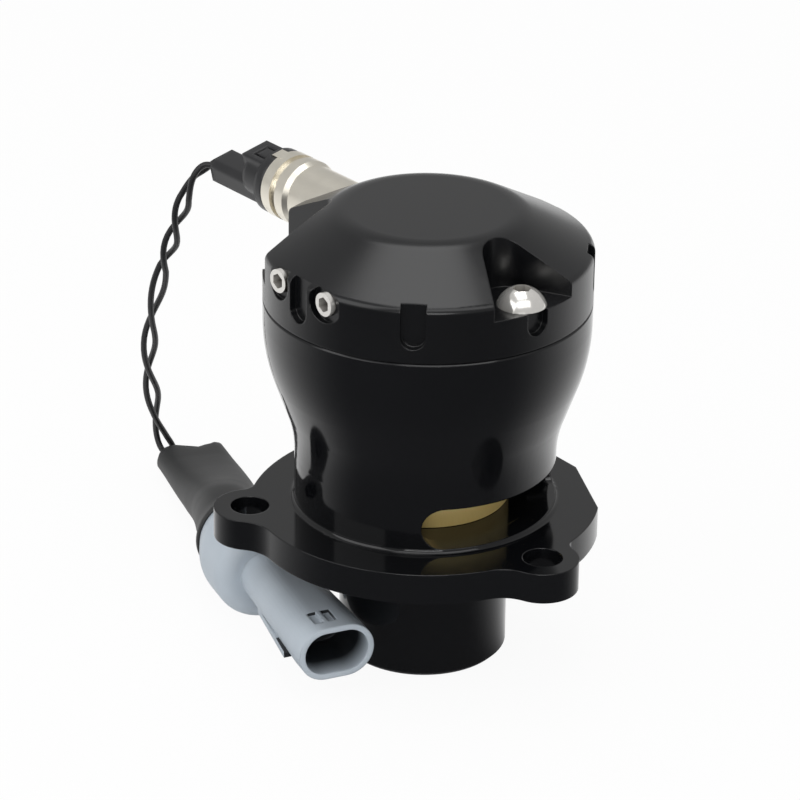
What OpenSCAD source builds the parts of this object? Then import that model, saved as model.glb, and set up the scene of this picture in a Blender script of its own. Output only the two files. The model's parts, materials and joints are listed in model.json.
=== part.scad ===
// Pilot-operated blow off valve: flanged body, stepped piston, domed cap, solenoid and its lead
// Origin on the valve's axis at the lower end of the nose, +Z up, solenoid along +Y

/* [Nose and flange] */
// Radius of the inlet bore
nose_bore_r = 13; // [12:0.1:14]
// Wall of the inlet nose
nose_wall = 2.7; // [2.4:0.1:3.4]
// Length of the nose below the flange
nose_len = 24.4; // [20:0.2:30]
// Chamfer on the lower edge of the nose
nose_edge = 0.8; // [0.3:0.1:1.4]
// Thickness of the flange
flange_t = 5.8; // [5:0.1:8]
// Flange disc outside the barrel
flange_lip = 8.2; // [7.6:0.1:9]
// Bolt circle outside the barrel
bolt_reach = 8.5; // [8:0.1:9]
// Diameter of the flange bolt holes
bolt_hole_d = 7.2; // [6:0.1:8]
// Number of flange ears
ear_count = 3; // [3:1:3]
// Direction of the first ear
ear_start = -89.3; // [-91:0.1:-88]
// Wall of an ear round its bolt hole
ear_wall = 3.1; // [2.6:0.1:4]
// Wide blend from the disc into an ear
ear_blend_wide = 7; // [5:0.5:9]
// Tight blend from the disc into an ear
ear_blend_tight = 2.5; // [2:0.1:3.5]
// Direction of the first flat on the disc
flat_a_angle = -2; // [-4:0.5:0]
// First flat outside the barrel
flat_a_reach = 5.7; // [5.2:0.1:6.2]
// Direction of the second flat on the disc
flat_b_angle = -28; // [-32:0.5:-24]
// Second flat outside the barrel
flat_b_reach = 6.2; // [5.7:0.1:6.7]
// Radius of the flatter arc at the back of the disc
back_arc_r = 37; // [35:0.5:40]
// Reach of the flatter arc outside the barrel
back_arc_reach = 5.9; // [5.6:0.1:6.4]
// Section radius of the flange O-ring
flange_ring_s = 0.95; // [0.8:0.05:1.1]
// Gap from the plenum wall to the middle of the flange O-ring
flange_ring_gap = 3.8; // [3.4:0.1:4.2]

/* [Barrel and flare] */
// Wall of the barrel round the plenum
barrel_wall = 3.8; // [3:0.1:5]
// Height of the straight barrel
barrel_len = 13.8; // [13:0.1:16]
// Height of the flare
flare_len = 16.4; // [14:0.1:18]
// Hollow blend at the foot of the flare
flare_foot_r = 24; // [12:0.5:26]
// Round at the top of the flare
flare_top_r = 34; // [16:0.5:36]
// Fillet at the foot of the barrel
foot_fillet = 0.9; // [0.4:0.1:1.4]
// Width of the vent slot
slot_w = 17; // [13:0.5:20]
// Height of the vent slot
slot_h = 8; // [7:0.5:10]
// Direction of the vent slot
slot_angle = -110.7; // [-118:0.1:-102]

/* [Bores] */
// Seat height above the flange
seat_lift = 0.8; // [0.5:0.1:1.5]
// Height of the plenum
plenum_h = 11; // [10.8:0.1:13]
// Length of the skirt guide
guide_len = 8; // [6:0.5:10]
// Width of the plenum outside the nose
plenum_gap = 4.7; // [4:0.1:6]
// Running clearance on the radius
fit_clear = 0.05; // [0.03:0.01:0.08]
// Wall between the head bore and the screw threads
thread_wall = 0.9; // [0.8:0.1:1.5]
// Depth of the screw threads in the body
thread_depth = 10.5; // [8:0.5:12]

/* [Piston] */
// Width of the seat face under the skirt
seat_w = 2.6; // [2.3:0.1:3]
// Head radius beyond the plenum
head_step = 1.6; // [1.4:0.1:2.4]
// Height of the head
head_h = 6.5; // [5.5:0.1:8]
// Gap under the head at rest
shelf_gap = 1.5; // [1:0.1:2.5]
// Lift of the piston
valve_lift = 8; // [5:0.5:9]
// Gap left above the head at full lift
lift_gap = 0.5; // [0.4:0.1:1]
// Wall of the piston skirt
skirt_wall = 3.1; // [2.6:0.1:3.6]
// Thickness of the piston floor
cup_floor = 2.9; // [2.4:0.1:4]
// Gap under the piston on its seat
seat_gap = 0.1; // [0.05:0.01:0.2]
// Diameter of the bleed hole in the piston floor
bleed_d = 1.5; // [1:0.1:2.5]
// Width of the seat seal
seat_seal_w = 1.2; // [0.8:0.1:1.4]
// Depth of the seat seal
seat_seal_t = 1; // [0.8:0.1:1.4]
// Height of the ring on the head
ring_h = 2.3; // [1.5:0.1:3]
// Depth of the ring on the head
ring_t = 1.7; // [1.2:0.1:2.2]
// Middle radius of the main spring
spring_r = 8.4; // [7:0.1:9.5]
// Wire radius of the main spring
spring_wire_r = 1.1; // [0.8:0.05:1.3]
// Turns of the main spring
spring_turns = 6; // [4:1:8]

/* [Cap] */
// Rim beyond the screw circle
rim_land = 4.5; // [4.5:0.1:6]
// Height of the rim
rim_h = 10.3; // [9.8:0.1:12]
// Height of the cap above the seam
cap_h = 17.4; // [16:0.1:20]
// Radius of the flat top
cap_top_r = 16.8; // [14:0.1:19]
// Blend from the flat top into the slope
cap_blend_r = 7; // [3:0.5:12]
// Round on the rim
rim_round = 1.5; // [0.8:0.1:2.5]
// Chamfer on both edges of the seam
seam_edge = 0.3; // [0.15:0.05:0.4]
// Length of the spigot in the body
spigot_len = 3.8; // [3.4:0.1:5]
// Wall of the spigot
spigot_wall = 4.95; // [4:0.05:6]
// Height of the spring chamber above the seam
chamber_lift = 0.9; // [0.6:0.1:1]
// Section radius of the cap O-ring
cap_ring_s = 0.8; // [0.6:0.05:1]
// Width of the rim notches
notch_w = 4.5; // [3.5:0.1:5.5]
// Height of the lowest point of a notch above the seam
notch_lift = 2.8; // [2:0.1:3.4]
// Depth of a rim notch
notch_depth = 1.4; // [0.8:0.1:1.5]
// Number of notch places round the rim
notch_count = 8; // [8:1:8]
// Height of the pocket's floor above the seam
floor_lift = 7.4; // [6.8:0.1:8]
// Height of the milled steps above the seam
step_lift = 4.6; // [4:0.1:4.8]
// Half width of the solenoid boss
boss_half_w = 10; // [9:0.1:11]
// Start of the milled steps beside the boss
step_start = 13.8; // [13:0.1:15]
// Corner radius of the milled steps
step_corner_r = 3; // [2:0.1:4]
// Radius of the inner end of the screw pocket
pocket_r = 4.8; // [4.7:0.1:5.4]
// Pocket centre inside the screw circle
pocket_shift = 3.5; // [2:0.1:4]
// Half angle of the pocket's flare
pocket_half_angle = 28; // [20:1:34]

/* [Cap screws and passage plugs] */
// Thread diameter of the cap screws
screw_d = 5; // [4.5:0.1:5.4]
// Head diameter of the cap screws
screw_head_d = 9; // [8.4:0.1:9]
// Head height of the cap screws
screw_head_h = 3.3; // [2.8:0.1:3.6]
// Hole clearance on the screw's radius
screw_clear = 0.25; // [0.1:0.05:0.3]
// Hex key size of the cap screws
screw_hex = 3; // [2.5:0.1:3.4]
// Diameter of the passage plugs
plug_d = 4.35; // [4:0.05:4.8]
// Length of the passage plugs
plug_len = 5; // [4:0.1:6]
// Distance of a plug from the middle of the rim's side
plug_shift = 6.5; // [6:0.1:7]
// Spot face round a passage plug
plug_spot_d = 7; // [5.8:0.1:7.4]
// Depth of the spot face at a passage plug
plug_recess = 1.6; // [1.4:0.1:2]
// Height of a plug over its spot face
plug_proud = 1; // [0.6:0.1:1.4]
// Hex key size of the passage plugs
plug_hex = 2.5; // [2:0.1:3]
// Diameter of the drilled passage behind a plug
passage_d = 2.4; // [1.5:0.1:3]
// Length of the drilled passage behind a plug
passage_len = 6; // [3:0.5:8]

/* [Solenoid] */
// Height of the solenoid axis above the seam
sol_lift = 8.5; // [8.2:0.1:9.5]
// Radius of the solenoid tube
tube_r = 5.91; // [5.5:0.01:6.2]
// Wall of the solenoid tube
tube_wall = 0.8; // [0.6:0.05:1]
// Start of the solenoid bore from the axis
bore_start = 12; // [11:0.1:13]
// Section radius of the solenoid's end seal
end_seal_s = 0.5; // [0.4:0.05:0.6]
// Length of the tube to its shoulder
tube_len = 21.9; // [20:0.1:26]
// Radius step at the shoulder
shoulder = 0.57; // [0.3:0.01:0.9]
// Length of the sloped shoulder
shoulder_run = 1; // [0.4:0.1:2]
// Length of the bell behind the shoulder
bell_len = 2.3; // [1.8:0.1:3.4]
// Length of the groove
groove_len = 1.5; // [0.8:0.1:2]
// Depth of the groove
groove_depth = 0.7; // [0.4:0.1:0.9]
// Length of the end ring
end_ring_len = 2.5; // [2:0.1:3]
// Thickness of the pilot seat disc
pilot_seat_t = 3; // [2.5:0.1:4]
// Radius of the pilot hole
pilot_hole_r = 1; // [0.6:0.1:1.4]
// Radius of the armature
armature_r = 3.4; // [3:0.1:3.5]
// Length of the armature
armature_len = 9.8; // [8:0.1:12]
// Stroke of the armature
armature_stroke = 0.8; // [0.5:0.1:1.2]
// Wall of the bobbin
bobbin_wall = 0.45; // [0.4:0.05:0.6]
// Thickness of the bobbin's cheeks
cheek_t = 1.2; // [0.8:0.1:1.6]
// Depth of the spring pocket in the armature
pocket_depth = 5; // [3:0.1:6]
// Middle radius of the armature spring
arm_spring_r = 1.3; // [1.1:0.1:1.5]
// Wire radius of the armature spring
arm_wire_r = 0.2; // [0.15:0.01:0.25]
// Turns of the armature spring
arm_turns = 6; // [4:1:8]
// Length of the terminal header inside the tube
header_len = 3.4; // [3:0.1:4]
// Thickness of the header's outer rim
header_rim_t = 2.4; // [2:0.1:3]
// Width of the lug that the latch holds
lug_w = 2.5; // [2:0.1:3]
// Height of the lug that the latch holds
lug_h = 1.2; // [0.8:0.1:1.4]
// Length of the lug behind the end ring
lug_len = 1.6; // [1:0.1:2]
// Width of a terminal blade
blade_w = 1.6; // [1.2:0.1:2]
// Thickness of a terminal blade
blade_t = 0.6; // [0.4:0.1:0.8]
// Spacing of the terminal blades
blade_gap = 3.2; // [2.6:0.1:3.6]
// Length of the terminal blades behind the header
blade_len = 5; // [4:0.1:6]

/* [Plug] */
// Roll of the plug about the solenoid's axis
plug_roll = -12; // [-20:1:20]
// Neck radius of the plug
neck_r = 4.6; // [4:0.1:5]
// Gap between the header and the plug's body
neck_len = 2.4; // [1.6:0.1:3]
// Width of the plug's body
plug_body_w = 6.6; // [6.4:0.1:8]
// Length of the plug's body
plug_body_len = 15.8; // [13:0.1:18]
// Lower side of the plug's body under the axis
plug_body_low = 5.8; // [5.6:0.1:6.4]
// Upper side of the plug's body under the axis
plug_body_high = 0.6; // [0.2:0.1:1]
// Chamfer along the plug's body
plug_chamfer = 1; // [0.5:0.1:1.4]
// Width of the latch block
latch_w = 6; // [5.4:0.1:6.6]
// Length of the latch block
latch_len = 6.6; // [5:0.1:8]
// Height of the latch block over the axis
latch_h = 5; // [4.6:0.1:6]
// Width of the latch tongue
tongue_w = 2.5; // [2:0.1:3]
// Width of the slots round the latch tongue
tongue_slot = 0.5; // [0.3:0.1:0.7]
// Depth of the slots round the latch tongue
tongue_depth = 1.2; // [0.6:0.1:1.6]

/* [Lead and connector] */
// Radius of each wire
wire_r = 0.62; // [0.5:0.01:0.65]
// Distance of each wire from the middle of the pair
wire_offset = 1.15; // [0.9:0.05:1.3]
// Direction in which the connector's mouth points
conn_angle = -106; // [-112:1:-100]
// Outer width of the connector's hood at its mouth
hood_w = 14.6; // [14:0.1:15]
// Outer height of the connector's hood at its mouth
hood_h = 10.5; // [9.5:0.1:11.5]
// Wall of the hood at its mouth
hood_wall = 1.1; // [0.9:0.1:1.5]
// Straight lip at the mouth of the hood
hood_lip = 4; // [2:0.5:6]
// Length of the hood in front of the rear barrel
hood_len = 33; // [28:0.5:36]
// Width of the hood at the rear barrel
hood_rear_w = 11.4; // [10:0.1:12.5]
// Height of the hood at the rear barrel
hood_rear_h = 9.4; // [8.5:0.1:10]
// Depth of the hood's cavity
hood_depth = 12; // [10:0.5:14]
// Depth of the inner pocket behind the cavity
inner_depth = 8; // [6:0.5:10]
// Step from the cavity in to the inner pocket
inner_step = 1.4; // [1.2:0.1:1.8]
// Radius of the rear barrel at its front
rear_front_r = 10.2; // [9.4:0.1:10.2]
// Radius of the rear barrel at the boot
rear_back_r = 7; // [6.8:0.1:7.4]
// Length of the rear barrel
rear_len = 19; // [15:0.5:20]
// Length of the taper at the back of the rear barrel
rear_taper = 8; // [7:0.5:10]
// Round where the taper meets the rear barrel
taper_round = 12; // [6:1:14]
// Round on the front of the rear barrel
rear_round = 3.4; // [2:0.1:3.6]
// Distance of the latch pockets behind the mouth
latch_start = 2.6; // [2:0.1:4]
// Sideways place of the latch pockets
latch_shift = -1.1; // [-1.4:0.1:0]
// Length of the latch pockets
latch_pocket_len = 4.2; // [3.5:0.1:5]
// Width over both latch pockets
latch_pocket_w = 4.2; // [3.6:0.1:5]
// Width of the stem between the latch pockets
latch_stem_w = 0.9; // [0.7:0.1:1.2]
// Depth of the latch pockets
latch_pocket_d = 0.7; // [0.5:0.1:0.8]
// Thickness of the guide rail on the hood's side
rail_t = 1.2; // [0.8:0.1:1.6]
// Reach of the guide rail outside the hood
rail_reach = 0.3; // [0.1:0.1:0.6]
// Length of the guide rail
rail_len = 18; // [12:0.5:22]
// Distance of the guide rail behind the mouth
rail_start = 7; // [5:0.5:10]
// Radius of a contact pin
pin_r = 0.75; // [0.5:0.05:1]
// Spacing of the contact pins
pin_gap = 5; // [4:0.1:6]
// Length of the contact pins
pin_len = 6; // [4:0.5:8]

/* [Hidden] */
$fn = 96;
eps = 0.01;
big = 60;

// Radii that follow from the bores and walls
nose_r = nose_bore_r + nose_wall;
plenum_r = nose_r + plenum_gap;
barrel_r = plenum_r + barrel_wall;
skirt_r = nose_bore_r + seat_w;
guide_r = skirt_r + fit_clear;
cup_r = skirt_r - skirt_wall;
head_r = plenum_r + head_step;
head_bore_r = head_r + fit_clear;
thread_r = screw_d / 2 + fit_clear;
screw_circle_r = head_bore_r + thread_wall + thread_r;
body_r = screw_circle_r + rim_land;
spigot_r = head_bore_r - 2 * fit_clear;
chamber_r = spigot_r - spigot_wall;
flange_r = barrel_r + flange_lip;
bolt_circle_r = barrel_r + bolt_reach;
bolt_hole_r = bolt_hole_d / 2;
ear_r = bolt_hole_r + ear_wall;
flange_ring_r = plenum_r + flange_ring_gap;
ring_groove_room = 0.5;
ring_groove_w = 2 * flange_ring_s + ring_groove_room;
ring_squeeze = 0.3;

// Heights up the valve
flange_z = nose_len;
flange_top = flange_z + flange_t;
seat_z = flange_top + seat_lift;
plenum_top = seat_z + plenum_h;
shelf_z = plenum_top + guide_len;
head_z = shelf_z + shelf_gap;
head_top = head_z + head_h;
spigot_z = head_top + valve_lift + lift_gap;
seam_z = spigot_z + spigot_len;
flare_z = flange_top + barrel_len;
flare_top = flare_z + flare_len;
piston_z = seat_z + seat_gap;
cup_z = piston_z + cup_floor;
chamber_z = seam_z + chamber_lift;
rim_z = seam_z + rim_h;
cap_top = seam_z + cap_h;
floor_z = seam_z + floor_lift;
step_z = seam_z + step_lift;
sol_z = seam_z + sol_lift;

// Directions round the axis
ear_angles = [for (i = [0 : ear_count - 1]) ear_start + 360 / ear_count * i];
screw_angles = [-90, 48, 132];
screw_lifts = [floor_lift, step_lift, step_lift];
screw_end_gap = 0.5;
screw_len = floor_lift + thread_depth - screw_end_gap;
plug_sides = [-plug_shift, plug_shift];

// Stations along the solenoid's axis
seal_y = bore_start + end_seal_s + fit_clear;
tube_y = seal_y + end_seal_s + fit_clear;
shoulder_y = tube_y + tube_len;
groove_y = shoulder_y + bell_len;
ring_y = groove_y + groove_len;
tube_end = ring_y + end_ring_len;
bell_r = tube_r + shoulder;
tube_bore_r = tube_r - tube_wall;
inner_r = tube_bore_r - fit_clear;
armature_y = tube_y + pilot_seat_t + fit_clear * 2;
armature_end = armature_y + armature_len;
core_y = armature_end + armature_stroke + fit_clear * 2;
header_y = tube_end - header_len;
core_end = header_y - fit_clear;
bobbin_r = armature_r + fit_clear;
bobbin_out_r = bobbin_r + bobbin_wall;
bobbin_y = armature_y + cheek_t;
coil_y = bobbin_y + cheek_t;
bobbin_end = core_end - fit_clear;
coil_end = bobbin_end - cheek_t;
header_rim_r = bell_r - 2 * fit_clear;
plug_y = tube_end + header_rim_t;
plug_body_y = plug_y + neck_len;
plug_end = plug_body_y + plug_body_len;

// Route of the lead from the plug down to the back of the boot
lead_route = [
    [0.7, 61.9, 75.7], [0.6, 64, 75.6], [-0.5, 66, 74.8], [-2.4, 67.6, 72.4], [-3.4, 69.2, 68],
    [-3.6, 72, 61], [-3.7, 76.5, 50.5], [-3, 81.5, 37.5], [-1, 85.5, 25], [2.4, 88.4, 13.5],
    [4.4, 89.6, 7.6], [5.4, 89, 4.2], [5.6, 86.4, 3]
];

// Angle of the pair about its path at each route point, from a fixed direction across it
lead_turn = [180, 165, 140, 108, 55, -83, -300, -455, -628, -790, -860, -900, -930];
pair_ref = [0.8, -0.6, 0];

// Place of the connector's mouth on the floor and the route of the boot behind it
mouth = [-28.03, -9.35, 10.3];
conn_dir = [cos(conn_angle), sin(conn_angle), 0];
conn_len = hood_len + rear_len;
conn_rear = mouth - conn_len * conn_dir;
boot_route = [conn_rear, [-9.4, 48.4, 9], [-5.8, 54, 7.4], [-2.2, 60.3, 5.9], [1.8, 69, 4.4],
    [5.4, 77.6, 3.4], [8.8, 86.2, 2.8]];
boot_half_w = [6.9, 6.7, 6.7, 6.9, 7, 7.2, 7.3];
boot_half_h = [6.9, 6.7, 6.2, 5.3, 4, 3, 2.5];

// Unit vectors and corner blends in the plane
function unit(v) = v / norm(v);
function polar(r, a) = [r * cos(a), r * sin(a)];
function half_corner(v, a, b) = acos(unit(a - v) * unit(b - v)) / 2;
function corner_tangent(v, a, b, r) = r / tan(half_corner(v, a, b));
function corner_centre(v, a, b, r) =
    v + unit(unit(a - v) + unit(b - v)) * r / sin(half_corner(v, a, b));

// Area between a corner and the arc that rounds it, carried a little past the corner
blend_over = 0.2;
module corner_blend(v, a, b, r) {
    t = corner_tangent(v, a, b, r);
    centre = corner_centre(v, a, b, r);
    difference() {
        polygon([v + unit(a - v) * t, v + (v - centre) * blend_over, v + unit(b - v) * t]);
        translate(centre) circle(r);
    }
}

// Stadium of overall width w and height h, centred
module stadium(w, h) {
    square([w - h, h], center = true);
    for (s = [-1, 1]) translate([s * (w - h) / 2, 0]) circle(h / 2);
}

// Turns a shape drawn along +Z to lie along +Y on the solenoid's axis
module on_solenoid(y) {
    translate([0, y, sol_z]) rotate([-90, 0, 0]) children();
}

// Puts a shape drawn along +Z on the connector's axis, +Z at the mouth and +Y up
module on_connector(z) {
    translate(mouth + z * conn_dir) rotate([90, 0, conn_angle + 90]) children();
}

// Ring of square section between two radii
module ring(r_in, r_out, h) {
    rotate_extrude() translate([r_in, 0]) square([r_out - r_in, h]);
}

// O-ring of section radius s on radius r
module o_ring(r, s) {
    rotate_extrude() translate([r, 0]) circle(s, $fn = 32);
}

// Blend from an arc with its centre at height cy into an ear, on the side given by s
module arc_ear_blend(cy, arc_r, angle, s, r) {
    reach = arc_r + r;
    ear = polar(bolt_circle_r, angle) - [0, cy];
    far = norm(ear);
    turn = atan2(ear[1], ear[0])
        + s * acos((reach * reach + far * far - (ear_r + r) * (ear_r + r)) / (2 * reach * far));
    translate([0, cy]) difference() {
        polygon([[0, 0], polar(reach, turn), ear]);
        translate(polar(reach, turn)) circle(r);
    }
}

// Blend from a flat of the disc into the ear that follows it
module flat_ear_blend(flat_angle, flat_d, angle, r) {
    along = bolt_circle_r * cos(angle - flat_angle);
    across = bolt_circle_r * sin(angle - flat_angle);
    rise = flat_d + r - along;
    side = across - sqrt((ear_r + r) * (ear_r + r) - rise * rise);
    rotate(flat_angle) difference() {
        polygon([[0, 0], [flat_d, side], [flat_d + r, side], [along, across]]);
        translate([flat_d + r, side]) circle(r);
    }
}

// Half plane outside a flat
module outside_flat(angle, d) {
    rotate(angle) translate([d, -big]) square([big, 2 * big]);
}

// Outline of the flange with its ears, blends and flats
module flange_outline() {
    back_y = barrel_r + back_arc_reach - back_arc_r;
    difference() {
        intersection() {
            circle(flange_r);
            translate([0, back_y]) circle(back_arc_r);
        }
        outside_flat(flat_a_angle, barrel_r + flat_a_reach);
        outside_flat(flat_b_angle, barrel_r + flat_b_reach);
    }
    for (a = ear_angles) translate(polar(bolt_circle_r, a)) circle(ear_r);
    arc_ear_blend(0, flange_r, ear_angles[0], -1, ear_blend_wide);
    arc_ear_blend(0, flange_r, ear_angles[0], 1, ear_blend_tight);
    flat_ear_blend(flat_a_angle, barrel_r + flat_a_reach, ear_angles[1], ear_blend_tight);
    arc_ear_blend(back_y, back_arc_r, ear_angles[1], 1, ear_blend_wide);
    arc_ear_blend(back_y, back_arc_r, ear_angles[2], -1, ear_blend_tight);
    arc_ear_blend(0, flange_r, ear_angles[2], 1, ear_blend_wide);
}

// Half section of the body's outside, nose to seam
module body_outline() {
    foot = [barrel_r, flare_z];
    shoulder_pt = [body_r, flare_top];
    difference() {
        union() {
            polygon([[0, 0], [nose_r - nose_edge, 0], [nose_r, nose_edge], [nose_r, flange_z + flange_t / 2],
                [0, flange_z + flange_t / 2]]);
            polygon([[0, flange_top - flange_t / 2], [barrel_r, flange_top - flange_t / 2], foot, shoulder_pt,
                [body_r, seam_z - seam_edge], [body_r - seam_edge, seam_z], [0, seam_z]]);
            corner_blend([barrel_r, flange_top], [barrel_r, flare_z], [flange_r, flange_top], foot_fillet);
            corner_blend(foot, [barrel_r, flange_top], shoulder_pt, flare_foot_r);
        }
        corner_blend(shoulder_pt, foot, [body_r, seam_z + big], flare_top_r);
    }
}

// Vent slot drawn along +Z
module slot_cut() {
    linear_extrude(big) stadium(slot_w, slot_h);
}

module body() {
    color([0.09, 0.09, 0.1]) difference() {
        union() {
            rotate_extrude() body_outline();
            translate([0, 0, flange_z]) linear_extrude(flange_t) flange_outline();
        }
        translate([0, 0, -eps]) cylinder(h = seat_z + 2 * eps, r = nose_bore_r);
        translate([0, 0, seat_z]) cylinder(h = plenum_h + eps, r = plenum_r);
        translate([0, 0, plenum_top]) cylinder(h = guide_len + eps, r = guide_r);
        translate([0, 0, shelf_z]) cylinder(h = seam_z - shelf_z + eps, r = head_bore_r);
        rotate(slot_angle) translate([skirt_r, 0, seat_z + slot_h / 2]) rotate([90, 0, 90]) slot_cut();
        for (a = ear_angles) translate(concat(polar(bolt_circle_r, a), flange_z - eps))
            cylinder(h = flange_t + 2 * eps, r = bolt_hole_r);
        for (i = [0 : len(screw_angles) - 1]) {
            depth = thread_depth + floor_lift - screw_lifts[i];
            translate(concat(polar(screw_circle_r, screw_angles[i]), seam_z - depth))
                cylinder(h = depth + eps, r = thread_r);
        }
        translate([0, 0, flange_z - eps])
            ring(flange_ring_r - ring_groove_w / 2, flange_ring_r + ring_groove_w / 2,
                2 * flange_ring_s - ring_squeeze + fit_clear + eps);
    }
}

module flange_o_ring() {
    color([0.05, 0.05, 0.05])
        translate([0, 0, flange_z - ring_squeeze + flange_ring_s]) o_ring(flange_ring_r, flange_ring_s);
}

// Stepped piston with its cup, ring groove, seal groove and bleed hole
ring_z = head_z + (head_h - ring_h) / 2;
seal_in_r = nose_bore_r + (seat_w - seat_seal_w) / 2;
seal_out_r = seal_in_r + seat_seal_w;
module piston() {
    color([0.8, 0.62, 0.28]) difference() {
        rotate_extrude() polygon([[0, piston_z], [skirt_r, piston_z], [skirt_r, head_z], [head_r, head_z],
            [head_r, head_top], [cup_r, head_top], [cup_r, cup_z], [0, cup_z]]);
        translate([0, 0, ring_z - fit_clear])
            ring(head_r - ring_t - fit_clear, head_r + 1, ring_h + 2 * fit_clear);
        translate([0, 0, piston_z - eps]) ring(seal_in_r - fit_clear, seal_out_r + fit_clear,
            seat_seal_t + fit_clear + eps);
        translate([0, 0, piston_z - eps]) cylinder(h = cup_floor + 2 * eps, r = bleed_d / 2);
    }
}

module piston_ring() {
    color([0.25, 0.22, 0.2]) translate([0, 0, ring_z])
        ring(head_r - ring_t, head_r + fit_clear / 2, ring_h);
}

module seat_seal() {
    color([0.05, 0.05, 0.05]) translate([0, 0, piston_z - fit_clear])
        ring(seal_in_r, seal_out_r, seat_seal_t + fit_clear);
}

// Height along a coil spring that is close-wound at both ends
function coil_rise(t, turns) =
    let (flat = 1 / turns) t < flat ? 0.08 * t / flat : t > 1 - flat ? 1 - 0.08 * (1 - t) / flat
    : 0.08 + 0.84 * (t - flat) / (1 - 2 * flat);
function coil_point(t, r, z0, z1, turns) =
    [r * cos(360 * turns * t), r * sin(360 * turns * t), z0 + (z1 - z0) * coil_rise(t, turns)];

// Tube of radius r through a list of points, each ring square to the path
function tangent_at(p, i) = let (n = len(p) - 1) unit(p[min(i + 1, n)] - p[max(i - 1, 0)]);
function ring_points(c, u, v, ru, rv, sides) =
    [for (k = [0 : sides - 1]) c + u * ru * cos(360 * k / sides) + v * rv * sin(360 * k / sides)];
function tube_faces(rings, sides) = concat(
    [[for (k = [0 : sides - 1]) k]],
    [for (i = [0 : rings - 2], k = [0 : sides - 1]) let (n = (k + 1) % sides)
        [i * sides + k, (i + 1) * sides + k, (i + 1) * sides + n, i * sides + n]],
    [[for (k = [sides - 1 : -1 : 0]) (rings - 1) * sides + k]]);

// Coil spring of wire radius w on radius r between two heights
module coil_spring(r, w, z0, z1, turns, steps, sides) {
    n = turns * steps;
    path = [for (i = [0 : n]) coil_point(i / n, r, z0 + w, z1 - w, turns)];
    rings = [for (i = [0 : n]) let (a = 360 * turns * i / n)
        ring_points(path[i], [cos(a), sin(a), 0], [0, 0, 1], w, w, sides)];
    polyhedron([for (q = rings) for (p = q) p], tube_faces(n + 1, sides), convexity = 10);
}

module main_spring() {
    color([0.7, 0.7, 0.72])
        coil_spring(spring_r, spring_wire_r, cup_z + fit_clear, chamber_z - fit_clear, spring_turns, 14, 8);
}

// Half section of the cap's outside
module cap_outline() {
    rim = [body_r, rim_z];
    edge = [cap_top_r, cap_top];
    difference() {
        polygon([[0, seam_z], [body_r - seam_edge, seam_z], [body_r, seam_z + seam_edge], rim, edge,
            [0, cap_top]]);
        corner_blend(rim, [body_r, seam_z], edge, rim_round);
        corner_blend(edge, rim, [0, cap_top], cap_blend_r);
    }
}

// Outline of the screw pocket that opens to the rim along -Y
module pocket_outline() {
    centre_y = -(screw_circle_r - pocket_shift);
    side = pocket_r * cos(pocket_half_angle);
    rise = pocket_r * sin(pocket_half_angle);
    run = body_r;
    translate([0, centre_y]) {
        circle(pocket_r);
        polygon([[-side, rise], [side, rise], [side + run * tan(pocket_half_angle), rise - run],
            [-side - run * tan(pocket_half_angle), rise - run]]);
    }
}

// Outline of the milled step on the +X side of the solenoid boss
module step_outline() {
    corner = [boss_half_w, step_start];
    difference() {
        polygon([corner, [big, step_start], [big, big], [boss_half_w, big]]);
        corner_blend(corner, [big, step_start], [boss_half_w, big], step_corner_r);
    }
}

// Rim notch drawn along +Z with its foot round
module notch_cut() {
    linear_extrude(big) {
        circle(notch_w / 2);
        translate([-notch_w / 2, 0]) square([notch_w, big]);
    }
}

plug_spot_x = body_r - plug_recess;
plug_foot_x = plug_spot_x + plug_proud - plug_len;
cap_ring_z = spigot_z + spigot_len / 2;
cap_ring_r = spigot_r - cap_ring_s + fit_clear;
cap_ring_room = 0.4;
cap_ring_w = 2 * cap_ring_s + cap_ring_room;
module cap() {
    color([0.1, 0.1, 0.11]) difference() {
        union() {
            rotate_extrude() cap_outline();
            translate([0, 0, spigot_z]) cylinder(h = spigot_len + eps, r = spigot_r);
        }
        translate([0, 0, spigot_z - eps]) cylinder(h = chamber_z - spigot_z + eps, r = chamber_r);
        translate([0, 0, cap_ring_z - cap_ring_w / 2])
            ring(cap_ring_r - cap_ring_s - fit_clear, spigot_r + 1, cap_ring_w);
        translate([0, 0, floor_z]) linear_extrude(big) pocket_outline();
        translate([0, 0, step_z]) linear_extrude(big) {
            step_outline();
            mirror([1, 0]) step_outline();
        }
        for (i = [0 : notch_count - 1]) if (i != notch_count / 4)
            rotate(360 / notch_count * i)
                translate([body_r - notch_depth, 0, seam_z + notch_lift + notch_w / 2])
                    rotate([90, 0, 90]) notch_cut();
        for (a = screw_angles) translate(concat(polar(screw_circle_r, a), seam_z - eps))
            cylinder(h = big, r = screw_d / 2 + screw_clear);
        on_solenoid(bore_start) cylinder(h = big, r = tube_r + fit_clear);
        on_solenoid(bore_start / 2) cylinder(h = bore_start, r = armature_r);
        translate([0, bore_start * 0.7, chamber_z - eps]) cylinder(h = sol_lift, r = pilot_hole_r);
        for (y = plug_sides) translate([0, y, sol_z]) rotate([0, -90, 0]) {
            translate([0, 0, plug_foot_x]) cylinder(h = big, r = plug_d / 2 + fit_clear);
            translate([0, 0, plug_spot_x]) cylinder(h = big, r = plug_spot_d / 2);
            translate([0, 0, plug_foot_x - passage_len]) cylinder(h = big, r = passage_d / 2);
        }
    }
}

module cap_o_ring() {
    color([0.05, 0.05, 0.05]) translate([0, 0, cap_ring_z]) o_ring(cap_ring_r, cap_ring_s);
}

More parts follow.
